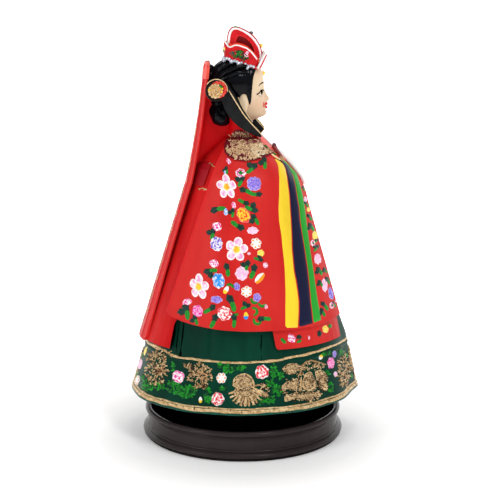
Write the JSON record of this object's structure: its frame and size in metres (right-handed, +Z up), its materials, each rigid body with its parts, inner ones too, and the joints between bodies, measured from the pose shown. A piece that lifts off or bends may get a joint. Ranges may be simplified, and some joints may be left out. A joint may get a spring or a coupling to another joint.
{
  "type": "hanbok doll",
  "caption": "Cast and painted figurine of a bride in wide-sleeved court robe over a bell skirt, turning on a round dark plinth.",
  "frame": {"origin": "centre of the flat underside of the felt pad, on the pivot axis", "axes": "+Z up along the pivot axis, -Y the way the figure faces at rest, -X its right-hand side"},
  "size_m": [0.1252, 0.1419, 0.2505],
  "materials": {
    "felt": "pale brushed felt",
    "plinth_lacquer": "dark brown gloss lacquer",
    "steel": "plain bright steel",
    "foot_black": "flat black paint",
    "skirt_green": "deep green paint with gold-stamped band, clear coat",
    "robe_red": "bright red brushed paint, clear coat",
    "sleeve_red": "bright red paint with flowers and yellow, navy and green stripes",
    "ribbon_red": "red paint, clear coat",
    "belt_red": "dark red paint with gold ends",
    "patch_gold": "gold paint over maroon",
    "collar_paint": "red paint with a white edge",
    "white_paint": "white paint",
    "skin_paint": "ivory paint, satin",
    "hair_black": "black gloss paint",
    "pin_gold": "gold paint",
    "ribbon_black": "charcoal paint with gold edge",
    "crown_red": "red paint with white edges",
    "silver_paint": "silver paint",
    "bead_green": "green paint",
    "bead_dark": "dark paint",
    "bead_yellow": "yellow paint"
  },
  "bodies": {
    "base": {"felt_pad": "felt", "plinth": "plinth_lacquer"},
    "figure": {"pivot_washer": "steel", "pivot_screw": "steel", "foot": "foot_black", "skirt": "skirt_green", "bodice": "skirt_green", "robe_back": "robe_red", "robe_front_right": "robe_red", "robe_front_left": "robe_red", "sleeve_right": "sleeve_red", "sleeve_left": "sleeve_red", "shoulder_patch_right": "patch_gold", "shoulder_patch_left": "patch_gold", "belt_back": "belt_red", "back_ribbon": "ribbon_red", "collar": "collar_paint", "hand_cloth": "white_paint", "head": "skin_paint", "hair": "hair_black", "chignon": "hair_black", "hairpin_bar": "pin_gold", "hairpin_knob_right": "pin_gold", "hairpin_knob_left": "pin_gold", "ribbon_loop_right": "ribbon_black", "ribbon_loop_left": "ribbon_black", "front_ribbon_right": "ribbon_black", "front_ribbon_left": "ribbon_black", "crown_band": "crown_red", "crown_cap": "crown_red", "crown_lace": "silver_paint", "crown_bead_green": "bead_green", "crown_bead_dark": "bead_dark", "crown_bead_yellow": "bead_yellow", "forehead_bead": "bead_yellow"}
  },
  "joints": [
    {"name": "figure_turn", "type": "hinge", "parent": "base", "child": "figure", "pos_m": [0, 0, 0.0165], "axis": [0, 0, 1], "continuous": true}
  ]
}
